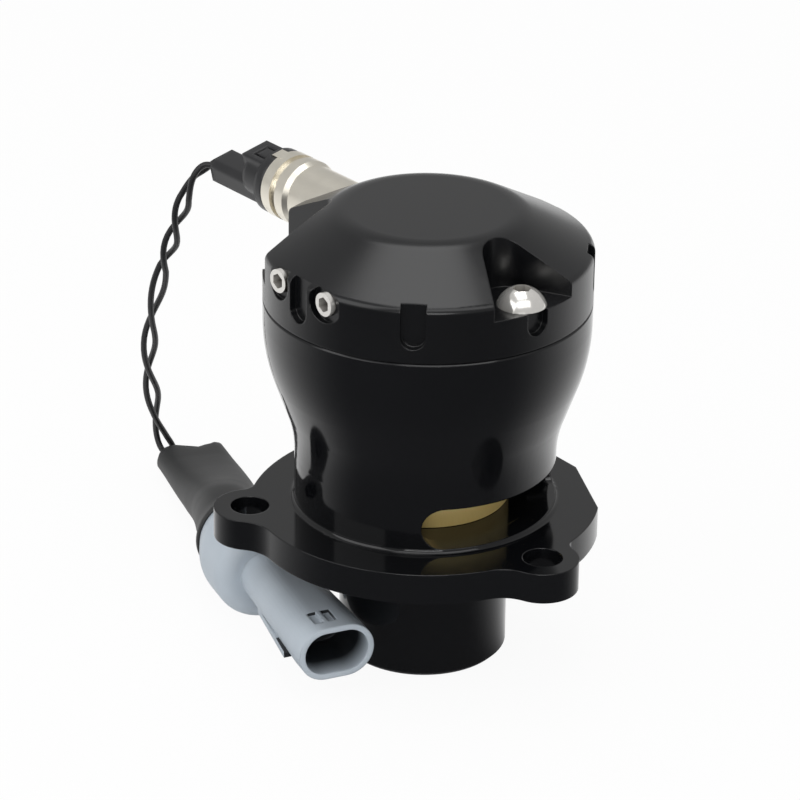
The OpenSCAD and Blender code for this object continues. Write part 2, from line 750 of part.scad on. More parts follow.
// Button head screw with its head's seat at z = 0
module button_screw(len_below) {
    bulge_r = (screw_head_d * screw_head_d / 4 + screw_head_h * screw_head_h) / (2 * screw_head_h);
    difference() {
        union() {
            translate([0, 0, -len_below]) cylinder(h = len_below + eps, r = screw_d / 2);
            rotate_extrude() intersection() {
                translate([0, screw_head_h - bulge_r]) circle(bulge_r);
                square([screw_head_d / 2, screw_head_h * 0.92]);
            }
        }
        translate([0, 0, screw_head_h * 0.3]) cylinder(h = screw_head_h, r = screw_hex / sqrt(3), $fn = 6);
    }
}

module cap_screws() {
    color([0.75, 0.75, 0.76]) for (i = [0 : len(screw_angles) - 1])
        translate(concat(polar(screw_circle_r, screw_angles[i]), seam_z + screw_lifts[i]))
            rotate(screw_angles[i]) button_screw(screw_len);
}

module passage_plugs() {
    color([0.75, 0.75, 0.76]) for (y = plug_sides) translate([-plug_foot_x, y, sol_z])
        rotate([0, -90, 0]) difference() {
            cylinder(h = plug_len, r = plug_d / 2);
            translate([0, 0, plug_len / 2]) cylinder(h = plug_len, r = plug_hex / sqrt(3), $fn = 6);
        }
}

// Lug over the end ring, grown by c on its sides
module tube_lug(c) {
    start = ring_y + groove_len;
    translate([0, 0, sol_z]) rotate([0, plug_roll, 0]) translate([-lug_w / 2 - c, start, bell_r - lug_h - c])
        cube([lug_w + 2 * c, tube_end + lug_len + c - start, lug_h + 2 * c - fit_clear]);
}

module solenoid_tube() {
    color([0.76, 0.72, 0.66]) tube_lug(0);
    color([0.76, 0.72, 0.66]) on_solenoid(0) rotate_extrude() polygon([
        [tube_bore_r, tube_y], [tube_r, tube_y], [tube_r, shoulder_y - shoulder_run], [bell_r, shoulder_y],
        [bell_r, groove_y], [bell_r - groove_depth, groove_y], [bell_r - groove_depth, ring_y],
        [bell_r, ring_y], [bell_r, tube_end], [tube_bore_r, tube_end]]);
}

module solenoid_seal() {
    color([0.05, 0.05, 0.05]) on_solenoid(seal_y) o_ring(tube_r - end_seal_s - fit_clear, end_seal_s);
}

module pilot_seat() {
    color([0.8, 0.62, 0.28]) on_solenoid(tube_y) ring(pilot_hole_r, inner_r, pilot_seat_t);
}

module armature() {
    color([0.62, 0.62, 0.64]) on_solenoid(armature_y) difference() {
        cylinder(h = armature_len, r = armature_r);
        translate([0, 0, armature_len - pocket_depth]) cylinder(h = pocket_depth + eps,
            r = arm_spring_r + arm_wire_r + 4 * fit_clear);
    }
}

module armature_spring() {
    color([0.7, 0.7, 0.72]) on_solenoid(0) coil_spring(arm_spring_r, arm_wire_r,
        armature_end - pocket_depth + fit_clear, core_y - fit_clear, arm_turns, 10, 6);
}

module fixed_core() {
    color([0.62, 0.62, 0.64]) on_solenoid(core_y) cylinder(h = core_end - core_y, r = armature_r);
}

module bobbin() {
    color([0.85, 0.82, 0.74]) on_solenoid(0) {
        translate([0, 0, bobbin_y]) ring(bobbin_r, bobbin_out_r, bobbin_end - bobbin_y);
        translate([0, 0, bobbin_y]) ring(bobbin_r, inner_r, cheek_t);
        translate([0, 0, bobbin_end - cheek_t]) ring(bobbin_r, inner_r, cheek_t);
    }
}

module coil() {
    color([0.6, 0.3, 0.14]) on_solenoid(coil_y + fit_clear)
        ring(bobbin_out_r + fit_clear, inner_r - 2 * fit_clear, coil_end - coil_y - 2 * fit_clear);
}

module terminal_header() {
    color([0.06, 0.06, 0.06]) difference() {
        on_solenoid(header_y) union() {
            cylinder(h = header_len + eps, r = inner_r);
            translate([0, 0, header_len]) cylinder(h = header_rim_t, r = header_rim_r);
        }
        blade_pair(fit_clear, header_y + header_len / 2, big);
        tube_lug(2 * fit_clear);
    }
}

// Two terminal blades grown by c, starting at station y
module blade_pair(c, y, length) {
    translate([0, 0, sol_z]) rotate([0, plug_roll, 0]) for (s = [-1, 1])
        translate([s * blade_gap / 2 - blade_w / 2 - c, y, -blade_t / 2 - c])
            cube([blade_w + 2 * c, length, blade_t + 2 * c]);
}

module terminals() {
    color([0.78, 0.66, 0.36])
        blade_pair(0, header_y + header_len / 2, header_len / 2 + header_rim_t + blade_len);
}

// Section of the plug's body, seen along the solenoid's axis with its upper side up
module plug_section() {
    half = plug_body_w / 2;
    polygon([[-half, -plug_body_low + plug_chamfer], [-half + plug_chamfer, -plug_body_low],
        [half - plug_chamfer, -plug_body_low], [half, -plug_body_low + plug_chamfer],
        [half, -plug_body_high - plug_chamfer], [half - plug_chamfer, -plug_body_high],
        [-half + plug_chamfer, -plug_body_high], [-half, -plug_body_high - plug_chamfer]]);
}

module plug_housing() {
    tongue_len = latch_len * 0.7;
    color([0.05, 0.05, 0.05]) difference() {
        translate([0, 0, sol_z]) rotate([0, plug_roll, 0]) difference() {
            union() {
                translate([0, plug_y, 0]) rotate([-90, 0, 0])
                    cylinder(h = neck_len + latch_len / 2, r = neck_r);
                translate([0, plug_end, 0]) rotate([90, 0, 0]) linear_extrude(plug_body_len) plug_section();
                translate([-latch_w / 2, plug_y, -plug_body_high - plug_chamfer])
                    cube([latch_w, latch_len, latch_h + plug_body_high + plug_chamfer]);
            }
            for (s = [-1, 1]) translate([s * (tongue_w + tongue_slot) / 2 - tongue_slot / 2, plug_y - eps,
                latch_h - tongue_depth]) cube([tongue_slot, tongue_len, tongue_depth + eps]);
            translate([-tongue_w / 2, plug_y + tongue_len - tongue_slot, latch_h - tongue_depth])
                cube([tongue_w, tongue_slot, tongue_depth + eps]);
        }
        blade_pair(fit_clear, plug_y - eps, blade_len + fit_clear + eps);
    }
}

// Smooth path through the route points, by tangents at the points
lead_steps = 5;
lead_spans = len(lead_route) - 1;
lead_rings = lead_spans * lead_steps + 1;
function lead_at(i, t) =
    let (a = lead_route[i], b = lead_route[i + 1], d = norm(b - a),
        ma = tangent_at(lead_route, i) * d, mb = tangent_at(lead_route, i + 1) * d)
    (2 * t * t * t - 3 * t * t + 1) * a + (t * t * t - 2 * t * t + t) * ma
    + (3 * t * t - 2 * t * t * t) * b + (t * t * t - t * t) * mb;
lead_path = [for (i = [0 : lead_spans - 1], k = [0 : lead_steps - 1]) lead_at(i, k / lead_steps),
    lead_route[lead_spans]];

// Twisted pair, turned about the path by the angles given at the route points
function turn_at(i) = let (k = min(floor(i / lead_steps), lead_spans - 1), t = i / lead_steps - k)
    lead_turn[k] * (1 - t) + lead_turn[k + 1] * t;
function pair_dir(i) =
    i == 0 ? [0, 1, 0] : i == lead_rings - 1 ? [0, -1, 0] : tangent_at(lead_path, i);
function pair_side(i) = let (d = pair_dir(i)) unit(pair_ref - d * (pair_ref * d));
function pair_up(i) = cross(pair_dir(i), pair_side(i));
function wire_centre(i, phase) = let (a = turn_at(i) + phase)
    lead_path[i] + wire_offset * (cos(a) * pair_side(i) + sin(a) * pair_up(i));
module wire(phase) {
    rings = [for (i = [0 : lead_rings - 1])
        ring_points(wire_centre(i, phase), pair_side(i), pair_up(i), wire_r, wire_r, 8)];
    polyhedron([for (q = rings) for (p = q) p], tube_faces(lead_rings, 8), convexity = 10);
}

module wire_a() {
    color([0.05, 0.05, 0.05]) wire(0);
}

module wire_b() {
    color([0.05, 0.05, 0.05]) wire(180);
}

// Shrink boot, round at the connector and flattened at its back end
boot_last = len(boot_route) - 1;
function boot_dir(i) = i == 0 ? -conn_dir : i == boot_last ? [0, 1, 0] :
    unit([boot_route[i + 1][0] - boot_route[i - 1][0], boot_route[i + 1][1] - boot_route[i - 1][1], 0]);
module boot() {
    rings = [for (i = [0 : boot_last]) let (d = boot_dir(i))
        ring_points(boot_route[i], [d[1], -d[0], 0], [0, 0, 1], boot_half_w[i], boot_half_h[i], 24)];
    color([0.12, 0.12, 0.12])
        polyhedron([for (q = rings) for (p = q) p], tube_faces(boot_last + 1, 24), convexity = 4);
}

// Half section of the rear barrel, from the boot at z = 0 to the hood
module rear_outline() {
    back = [rear_back_r, 0];
    widest = [rear_front_r, rear_taper];
    front = [rear_front_r, rear_len];
    difference() {
        polygon([[0, 0], back, widest, front, [0, rear_len]]);
        corner_blend(widest, back, front, taper_round);
        corner_blend(front, widest, [0, rear_len], rear_round);
    }
}

// Tapered hood, from its straight lip back into the rear barrel
module hood_shell() {
    hull() {
        on_connector(-hood_lip) linear_extrude(hood_lip) stadium(hood_w, hood_h, $fn = 40);
        on_connector(-hood_len - rear_round) linear_extrude(hood_lip)
            stadium(hood_rear_w, hood_rear_h, $fn = 40);
    }
}

cavity_w = hood_w - 2 * hood_wall;
cavity_h = hood_h - 2 * hood_wall;
module connector_housing() {
    half = (latch_pocket_w - latch_stem_w) / 2;
    color([0.66, 0.71, 0.76]) difference() {
        union() {
            hood_shell();
            on_connector(-conn_len) rotate_extrude() rear_outline();
            on_connector(-rail_start) translate([0, -hood_h / 4 + rail_t / 2, 0]) rotate([90, 0, 0])
                linear_extrude(rail_t) polygon([[-hood_rear_w / 4, -rail_len],
                    [-hood_rear_w / 2, -rail_len], [-hood_w / 2 - rail_reach, 0], [-hood_rear_w / 4, 0]]);
        }
        on_connector(-hood_depth) linear_extrude(hood_depth + eps) stadium(cavity_w, cavity_h);
        on_connector(-hood_depth - inner_depth) linear_extrude(inner_depth + eps)
            stadium(cavity_w - 2 * inner_step, cavity_h - 2 * inner_step);
        for (s = [-1, 1]) on_connector(-latch_start - latch_pocket_len)
            translate([latch_shift + s * (half + latch_stem_w) / 2 - half / 2, hood_h / 2 - latch_pocket_d, 0])
                cube([half, hood_h, latch_pocket_len]);
    }
}

module contact_pins() {
    color([0.8, 0.8, 0.78]) for (s = [-1, 1]) on_connector(-hood_depth - inner_depth)
        translate([s * pin_gap / 2, 0, 0]) cylinder(h = pin_len, r = pin_r);
}

body();
piston();
piston_ring();
seat_seal();
main_spring();
cap();
cap_o_ring();
flange_o_ring();
cap_screws();
passage_plugs();
solenoid_tube();
solenoid_seal();
pilot_seat();
armature();
armature_spring();
fixed_core();
bobbin();
coil();
terminal_header();
terminals();
plug_housing();
wire_a();
wire_b();
boot();
connector_housing();
contact_pins();
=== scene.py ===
# %% [markdown]
# # A blow off valve, dressed
# The solids come from a imported CAD model: a black anodised body and cap, a brass piston behind the
# vent slot, a nickel solenoid and a twisted lead with a grey connector. This lesson loads them as a
# fixed frame and then gives each one its finish. What CAD can only draw stiffly is made again here:
# the wires and the shrink boot. The two springs are shown as copies of their solids, and the body
# as a copy whose vent is longer than the slot in the solid.

import json
import math

import bpy
from mathutils import Matrix, Vector


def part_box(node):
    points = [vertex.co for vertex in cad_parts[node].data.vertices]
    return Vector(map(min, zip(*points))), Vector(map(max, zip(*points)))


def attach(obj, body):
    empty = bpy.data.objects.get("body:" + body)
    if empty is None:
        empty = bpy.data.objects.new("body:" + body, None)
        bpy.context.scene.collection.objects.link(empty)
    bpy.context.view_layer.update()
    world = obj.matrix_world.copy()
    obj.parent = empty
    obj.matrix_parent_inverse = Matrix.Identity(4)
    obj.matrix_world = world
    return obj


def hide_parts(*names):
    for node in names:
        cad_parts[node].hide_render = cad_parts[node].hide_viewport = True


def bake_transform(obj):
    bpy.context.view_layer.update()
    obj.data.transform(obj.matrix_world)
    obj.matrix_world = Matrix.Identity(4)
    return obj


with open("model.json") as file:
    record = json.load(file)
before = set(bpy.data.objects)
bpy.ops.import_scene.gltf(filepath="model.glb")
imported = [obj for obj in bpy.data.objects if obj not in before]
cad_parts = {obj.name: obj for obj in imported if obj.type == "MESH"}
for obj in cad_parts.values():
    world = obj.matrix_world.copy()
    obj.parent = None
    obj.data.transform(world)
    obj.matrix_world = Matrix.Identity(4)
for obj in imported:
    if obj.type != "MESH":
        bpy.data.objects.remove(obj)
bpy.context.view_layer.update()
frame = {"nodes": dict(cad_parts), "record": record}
nodes = frame["nodes"]
scene = bpy.context.scene
MM = 0.001
AXIS_Y, AXIS_Z = 1, 2


# %% [markdown]
# ## The camera
# The photograph was taken with a long lens, a little above the cap and off to the left of the vent
# slot. A camera can be aimed with a constraint, but here its axes are worked out and written into
# its matrix, so that the small roll of the picture can be turned in as well. The shift puts the
# valve where the photograph has it.

# %% Camera
IMAGE_PX = 800
FOCAL_PX = 3815
SENSOR_MM = 36
AIM = Vector((0, 0, 50 * MM))
AIM_PX = (426.2, 397.1)
CAMERA_FAR = 700 * MM
AZIMUTH = math.radians(-40.2)
ELEVATION = math.radians(25.34)
ROLL = math.radians(1.033)
FRONT = (math.sin(AZIMUTH), -math.cos(AZIMUTH), 0)

back = Vector((FRONT[0] * math.cos(ELEVATION), FRONT[1] * math.cos(ELEVATION),
               math.sin(ELEVATION)))
level_right = Vector((math.cos(AZIMUTH), math.sin(AZIMUTH), 0))
level_up = level_right.cross(-back)
right = level_right * math.cos(ROLL) + level_up * math.sin(ROLL)
up = level_up * math.cos(ROLL) - level_right * math.sin(ROLL)

camera = bpy.data.objects.new("camera", bpy.data.cameras.new("camera"))
scene.collection.objects.link(camera)
camera_axes = Matrix((right, up, back)).transposed().to_4x4()
camera.matrix_world = Matrix.Translation(AIM + back * CAMERA_FAR) @ camera_axes
camera.data.sensor_width = SENSOR_MM
camera.data.lens = FOCAL_PX / IMAGE_PX * SENSOR_MM
camera.data.shift_x = (IMAGE_PX / 2 - AIM_PX[0]) / IMAGE_PX
camera.data.shift_y = (AIM_PX[1] - IMAGE_PX / 2) / IMAGE_PX
scene.camera = camera
print("lens mm:", round(camera.data.lens, 1),
      "shift:", round(camera.data.shift_x, 4), round(camera.data.shift_y, 4))

# %% [markdown]
# ## The route of the lead
# Two jacketed wires leave the plug, fall to the floor in a loose twist and end in the boot behind
# the connector. The points are the ones that the CAD route uses, in metres. A Hermite curve runs
# through them, with each tangent taken from the two neighbours, because that keeps the curve on the
# points and smooth between them.

# %% Lead route
LEAD_MM = [
    (0.7, 61.9, 75.7), (0.6, 64, 75.6), (-0.5, 66, 74.8), (-2.4, 67.6, 72.4), (-3.4, 69.2, 68),
    (-3.6, 72, 61), (-3.7, 76.5, 50.5), (-3, 81.5, 37.5), (-1, 85.5, 25), (2.4, 88.4, 13.5),
    (4.4, 89.6, 7.6), (5.4, 89, 4.2), (5.6, 86.4, 3)]
LEAD_STEPS = 10
lead_route = [Vector(p) * MM for p in LEAD_MM]


def tangent(points, i):
    return (points[min(i + 1, len(points) - 1)] - points[max(i - 1, 0)]).normalized()


def smooth_path(points, per_span):
    """Points on a Hermite curve through the given ones."""
    path = []
    for i in range(len(points) - 1):
        a, b = points[i], points[i + 1]
        span = (b - a).length
        ma, mb = tangent(points, i) * span, tangent(points, i + 1) * span
        for k in range(per_span):
            t = k / per_span
            path.append(a * (2 * t**3 - 3 * t**2 + 1) + ma * (t**3 - 2 * t**2 + t)
                        + b * (3 * t**2 - 2 * t**3) + mb * (t**3 - t**2))
    return path + [points[-1].copy()]


lead_path = smooth_path(lead_route, LEAD_STEPS)
print("lead points:", len(lead_path))

# %% [markdown]
# ## The twisted wires
# A twisted pair is two helices on one path. Each wire is a curve with a round bevel, which keeps a
# true round section and a smooth bend, and which can be measured as a cord. The thickness is set as
# the radius of each point, with a bevel of 1, because the box of a curve counts that radius too.
# The angle of the pair is given at each route point, because a loose twist isn't even: it opens
# into eyes and closes again.

# %% Wires
WIRE_R = 0.62 * MM
WIRE_OFFSET = 1.15 * MM
WIRE_ROUNDNESS = 4
PAIR_SIDE = Vector((0.8, -0.6, 0))
PAIR_TURN = [180, 165, 140, 108, 55, -83, -300, -455, -628, -790, -860, -900, -930]


def pair_frame(path, i):
    along = tangent(path, i)
    side = (PAIR_SIDE - along * PAIR_SIDE.dot(along)).normalized()
    return side, along.cross(side)


def wire_path(phase):
    centres = []
    for i, point in enumerate(lead_path):
        k = min(i // LEAD_STEPS, len(PAIR_TURN) - 2)
        share = i / LEAD_STEPS - k
        turn = math.radians(PAIR_TURN[k] * (1 - share) + PAIR_TURN[k + 1] * share + phase)
        side, over = pair_frame(lead_path, i)
        centres.append(point + (side * math.cos(turn) + over * math.sin(turn)) * WIRE_OFFSET)
    return centres


def round_cord(name, path, radius):
    curve = bpy.data.curves.new(name, "CURVE")
    curve.dimensions = "3D"
    curve.bevel_depth = 1
    curve.bevel_resolution = WIRE_ROUNDNESS
    curve.use_fill_caps = True
    spline = curve.splines.new("POLY")
    spline.points.add(len(path) - 1)
    for point, place in zip(spline.points, path):
        point.co = (*place, 1)
        point.radius = radius
    spline.use_smooth = True
    piece = bpy.data.objects.new(name, curve)
    scene.collection.objects.link(piece)
    return piece


def path_length(path):
    return sum((b - a).length for a, b in zip(path, path[1:]))


wires = []
for wire_name, phase in (("jacketed_wire_a", 0), ("jacketed_wire_b", 180)):
    path = wire_path(phase)
    wires.append((round_cord(wire_name, path, WIRE_R), path))
    print(wire_name, "length in mm:", round(path_length(path) / MM, 1))

# %% [markdown]
# ## The shrink boot
# A heat-shrink sleeve grips the round end of the connector and is pressed flat where the wires come
# out. It could be a simulated cloth tube, but it is stiff once shrunk, so a loft of many rings is
# enough: each ring is an oval that turns into a rounded oblong along the route. At the connector
# the sleeve rolls out over the barrel into a lip, and at the other end its edge is torn into a
# wave, given as a pull along the sleeve at places across it.

# %% Boot sizes
BOOT_MM = [
    (-13.7, 40.64, 10.3), (-9.4, 48.4, 9), (-5.8, 54, 7.4), (-2.2, 60.3, 5.9), (1.8, 69, 4.4),
    (5.4, 77.6, 3.4), (8.8, 86.2, 2.8)]
BOOT_HALF_W = [7, 6.5, 6.7, 7.2, 7.4, 7.35, 7.3]
BOOT_HALF_H = [7.1, 6.8, 6.3, 5.3, 4, 3, 2.5]
BOOT_SQUARE = [2, 2, 2.1, 2.3, 2.5, 2.7, 2.9]
LIP_RINGS_MM = [(0, 6.9), (2.6, 8.08), (2.7, 8.3), (2.4, 8.5), (1.4, 8.35), (0.4, 7.6)]
TORN_EDGE_MM = [
    (-7.3, -3.4), (-6.2, -2.1), (-4.9, -1.15), (-3.4, -0.9), (-1.6, -1.9), (0.3, -3.6),
    (1.8, -3.3), (3.7, -2.45), (5.7, -1.3), (7.3, -0.8)]
BOOT_SIDES = 64
BOOT_STEPS = 8
RINGS_UNDER_LIP = 2
CONNECTOR_ANGLE = math.radians(-106)
CONNECTOR_DIR = Vector((math.cos(CONNECTOR_ANGLE), math.sin(CONNECTOR_ANGLE), 0))
print("boot sections:", len(BOOT_MM), "lip rings:", len(LIP_RINGS_MM))

# %% Boot helpers


def value_along(values, place):
    """A value at a place along the route, straight between its points."""
    k = min(int(place), len(values) - 2)
    share = place - k
    return values[k] * (1 - share) + values[k + 1] * share


def torn_edge(across_mm):
    """Pull of the torn edge at a place across the sleeve."""
    for (a, pull_a), (b, pull_b) in zip(TORN_EDGE_MM, TORN_EDGE_MM[1:]):
        if across_mm <= b:
            share = max(0, (across_mm - a) / (b - a))
            share = share * share * (3 - 2 * share)
            return pull_a * (1 - share) + pull_b * share
    return TORN_EDGE_MM[-1][1]


def oblong(angle, square):
    """Unit oval at an angle, pressed towards a rectangle as square grows from 2."""
    u, v = math.cos(angle), math.sin(angle)
    return (math.copysign(abs(u) ** (2 / square), u), math.copysign(abs(v) ** (2 / square), v))


def loft(name, rings):
    """A mesh through rings of equal length, with flat ends."""
    sides = len(rings[0])
    points = [p for ring in rings for p in ring]
    faces = []
    for i in range(len(rings) - 1):
        for k in range(sides):
            n = (k + 1) % sides
            faces.append((i * sides + k, i * sides + n, (i + 1) * sides + n, (i + 1) * sides + k))
    faces.append(tuple(reversed(range(sides))))
    faces.append(tuple((len(rings) - 1) * sides + k for k in range(sides)))
    mesh = bpy.data.meshes.new(name)
    mesh.from_pydata([tuple(p) for p in points], [], faces)
    mesh.validate()
    for face in mesh.polygons:
        face.use_smooth = len(face.vertices) == 4
    piece = bpy.data.objects.new(name, mesh)
    scene.collection.objects.link(piece)
    return piece


print("boot helpers ready")

# %% Boot
boot_route = [Vector(p) * MM for p in BOOT_MM]
boot_path = smooth_path(boot_route, BOOT_STEPS)
boot_angles = [2 * math.pi * k / BOOT_SIDES for k in range(BOOT_SIDES)]
rings = []
lip_across = Vector((-CONNECTOR_DIR.y, CONNECTOR_DIR.x, 0))
for forward, radius in LIP_RINGS_MM:
    centre = boot_route[0] + CONNECTOR_DIR * forward * MM
    rings.append([centre + (lip_across * math.cos(a) + Vector((0, 0, math.sin(a)))) * radius * MM
                  for a in boot_angles])
for i, centre in enumerate(boot_path[RINGS_UNDER_LIP:], RINGS_UNDER_LIP):
    place = i / BOOT_STEPS
    along = tangent(boot_path, i)
    along = Vector((along.x, along.y, 0)).normalized()
    across = Vector((along.y, -along.x, 0))
    half_w, half_h = value_along(BOOT_HALF_W, place), value_along(BOOT_HALF_H, place)
    into_last_span = max(0, place - (len(BOOT_MM) - 2))
    ring = []
    for a in boot_angles:
        u, v = oblong(a, value_along(BOOT_SQUARE, place))
        pull = torn_edge(half_w * u) * into_last_span * into_last_span
        offset = across * half_w * u + Vector((0, 0, half_h * v)) + along * pull
        ring.append(centre + offset * MM)
    rings.append(ring)
boot = loft("shrink_boot", rings)
print("boot faces:", len(boot.data.polygons))

# %% [markdown]
# ## Riding the cords
# A new piece has to move with a body of the CAD model and take the place of the solid that it stands
# for. The two wires are cords, and the boot rides on the valve as well.

# %% Cords
for (piece, _), node in zip(wires, ("wire_a", "wire_b")):
    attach(piece, "valve")
    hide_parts(node)
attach(boot, "valve")
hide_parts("boot")
for piece, path in wires:
    round(path_length(path), 3)
print("cords declared:", len(wires))

# %% [markdown]
# ## The springs
# Each spring stands between the valve and a piece that slides. A stiff spring would be run through
# by that piece; here a copy of its mesh takes its place.

# %% Springs


def closing_spring(node, slide):
    """A copy of a spring that takes its place; its ends along the axis are found but not used."""
    lowest, highest = (Vector(corner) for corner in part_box(node))
    fixed_end = (lowest + highest) / 2
    moving_end = fixed_end.copy()
    fixed_end[slide], moving_end[slide] = highest[slide], lowest[slide]
    piece = bpy.data.objects.new(node + "_coils", nodes[node].data.copy())
    scene.collection.objects.link(piece)
    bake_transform(piece)
    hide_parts(node)
    return piece


springs = [closing_spring("main_spring", AXIS_Z),
           closing_spring("armature_spring", AXIS_Y)]
print("springs:", [piece.name for piece in springs])

# %% [markdown]
# ## Shader maths in Python
# A finish is a small sum of textures. Drawing it node by node hides the sum, so one class wraps a
# socket and lets Python's own operators add the Math nodes. Its node method adds any other node:
# the settings go in first, then the values or links of its sockets.

# %% Signals


class Signal:
    """A socket of a node tree that takes part in sums."""

    def __init__(self, tree, socket=None):
        self.tree = tree
        self.socket = socket

    def node(self, kind, settings=None, sockets=None, out=0):
        made = self.tree.nodes.new(kind)
        for key, value in (settings or {}).items():
            setattr(made, key, value)
        for key, value in (sockets or {}).items():
            if isinstance(value, Signal):
                self.tree.links.new(value.socket, made.inputs[key])
            else:
                made.inputs[key].default_value = value
        return Signal(self.tree, made.outputs[out] if made.outputs else None)

    def math(self, operation, a, b):
        return self.node("ShaderNodeMath", {"operation": operation}, {0: a, 1: b})

    def __add__(self, other):
        return self.math("ADD", self, other)

    def __sub__(self, other):
        return self.math("SUBTRACT", self, other)

    def __rsub__(self, other):
        return self.math("SUBTRACT", other, self)

    def __mul__(self, other):
        return self.math("MULTIPLY", self, other)

    def __truediv__(self, other):
        return self.math("DIVIDE", self, other)

    def __rtruediv__(self, other):
        return self.math("DIVIDE", other, self)

    def __pow__(self, other):
        return self.math("POWER", self, other)

    def __rpow__(self, other):
        return self.math("POWER", other, self)

    __radd__ = __add__
    __rmul__ = __mul__


print("operators ready")

# %% [markdown]
# ## The long vent
# The vent runs on round the barrel, past the end of the solid's slot. The solid has to stay as it
# is, so a copy of it takes its place, and there a modifier opens the wall: a band is swept along an
# arc, a round end is added, and both are taken away. A cut loses the smooth normals that came with
# the solid, so they are stored first and put back on the faces that had them. The new faces have
# none, and take their own. The cut also welds the solid's faces along their edges, where each side
# needs a normal of its own, so each face keeps a number and the edges between two numbers are
# split. The far end of the vent is hidden in the picture, so its place is a guess.

# %% Vent cutters
VENT_FROM, VENT_TO = math.radians(-110.7), math.radians(-32)
VENT_LOW, VENT_HIGH = 31.02 * MM, 38.98 * MM
VENT_R = 22.6 * MM
VENT_WALL = 7 * MM
VENT_ARC_STEPS = 48
VENT_END_SIDES = 64

vent_tree = bpy.data.node_groups.new("long_vent", "GeometryNodeTree")
vent_tree.interface.new_socket("Solid", in_out="INPUT", socket_type="NodeSocketGeometry")
vent_tree.interface.new_socket("Opened", in_out="OUTPUT", socket_type="NodeSocketGeometry")
vent = Signal(vent_tree)
vent_height = VENT_HIGH - VENT_LOW
vent_middle = (VENT_LOW + VENT_HIGH) / 2
arc = vent.node("GeometryNodeCurveArc", {"mode": "RADIUS"}, {
    "Resolution": VENT_ARC_STEPS, "Radius": VENT_R, "Start Angle": VENT_FROM,
    "Sweep Angle": VENT_TO - VENT_FROM})
section = vent.node("GeometryNodeCurvePrimitiveQuadrilateral", None, {
    "Width": VENT_WALL, "Height": vent_height})
band = vent.node("GeometryNodeCurveToMesh", None, {
    "Curve": arc, "Profile Curve": section, "Fill Caps": True})
band = vent.node("GeometryNodeTransform", None, {
    "Geometry": band, "Translation": (0, 0, vent_middle)})
round_end = vent.node("GeometryNodeMeshCylinder", None, {
    "Vertices": VENT_END_SIDES, "Radius": vent_height / 2, "Depth": VENT_WALL})
round_end = vent.node("GeometryNodeTransform", None, {
    "Geometry": round_end, "Rotation": (0, math.pi / 2, VENT_TO),
    "Translation": (VENT_R * math.cos(VENT_TO), VENT_R * math.sin(VENT_TO), vent_middle)})
print("vent cutters over", round(math.degrees(VENT_TO - VENT_FROM)), "degrees")

# %% Vent cut
SHARP_BEND = math.radians(30)
HAS_NORMAL = 0.5

stored = vent.node("GeometryNodeStoreNamedAttribute",
                   {"data_type": "FLOAT_VECTOR", "domain": "CORNER"}, {
                       "Geometry": vent.node("NodeGroupInput"), "Name": "solid_normal",
                       "Value": vent.node("GeometryNodeInputNormal")})
number = vent.node("GeometryNodeInputMeshIsland", out="Island Index") + 1
opened = vent.node("GeometryNodeStoreNamedAttribute", {"data_type": "INT", "domain": "FACE"}, {
    "Geometry": stored, "Name": "solid_face", "Value": number})
for cutter in (band, round_end):
    opened = vent.node("GeometryNodeMeshBoolean", {"operation": "DIFFERENCE", "solver": "EXACT"}, {
        "Mesh 1": opened, "Mesh 2": cutter})
face_number = vent.node("GeometryNodeInputNamedAttribute", {"data_type": "INT"}, {
    "Name": "solid_face"})
border = vent.node("GeometryNodeMeshFaceSetBoundaries", None, {0: face_number})
bend = vent.node("GeometryNodeInputMeshEdgeAngle", out="Unsigned Angle")
sharp = vent.math("GREATER_THAN", bend, SHARP_BEND)
opened = vent.node("GeometryNodeSplitEdges", None, {
    "Mesh": opened, "Selection": vent.math("MAXIMUM", border, sharp)})
print("vent nodes:", len(vent_tree.nodes))

# %% Vent normals
kept = vent.node("GeometryNodeInputNamedAttribute", {"data_type": "FLOAT_VECTOR"}, {
    "Name": "solid_normal"})
size_of_kept = vent.node("ShaderNodeVectorMath", {"operation": "LENGTH"}, {0: kept}, out="Value")
chosen = vent.node("GeometryNodeSwitch", {"input_type": "VECTOR"}, {
    "Switch": vent.math("GREATER_THAN", size_of_kept, HAS_NORMAL), "True": kept,
    "False": vent.node("GeometryNodeInputNormal", out="True Normal")})
shaded = vent.node("GeometryNodeSetMeshNormal", {"mode": "FREE", "domain": "CORNER"}, {
    "Mesh": opened, "Custom Normal": chosen})
vent.node("NodeGroupOutput", None, {0: shaded})
print("vent nodes:", len(vent_tree.nodes))

# %% Vented body
vented_body = bpy.data.objects.new("vented_body", nodes["body"].data.copy())
scene.collection.objects.link(vented_body)
vented_body.modifiers.new("long_vent", "NODES").node_group = vent_tree
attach(vented_body, "valve")
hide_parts("body")
print("made", vented_body.name)

# %% [markdown]
# ## Helpers for the finishes
# Every finish starts from the same place: the position on the part in metres, from which a radius
# and an angle follow for turned surfaces. The helpers here read the position, add a noise, blend
# two colours, weigh two textures and close a finish with its shader. Where a finish asks for it, a
# Bevel node rounds sharp edges in the shading alone.

# %% Texture helpers


def start_finish(name):
    material = bpy.data.materials.new(name)
    material.use_nodes = True
    material.node_tree.nodes.clear()
    return material, Signal(material.node_tree)


def place_of(tree):
    return tree.node("ShaderNodeTexCoord", out="Object")


def parts_of(vector):
    return [vector.node("ShaderNodeSeparateXYZ", None, {0: vector}, out=k) for k in range(3)]


def vector_of(x, y, z):
    return next(s for s in (x, y, z) if isinstance(s, Signal)).node(
        "ShaderNodeCombineXYZ", None, {0: x, 1: y, 2: z})


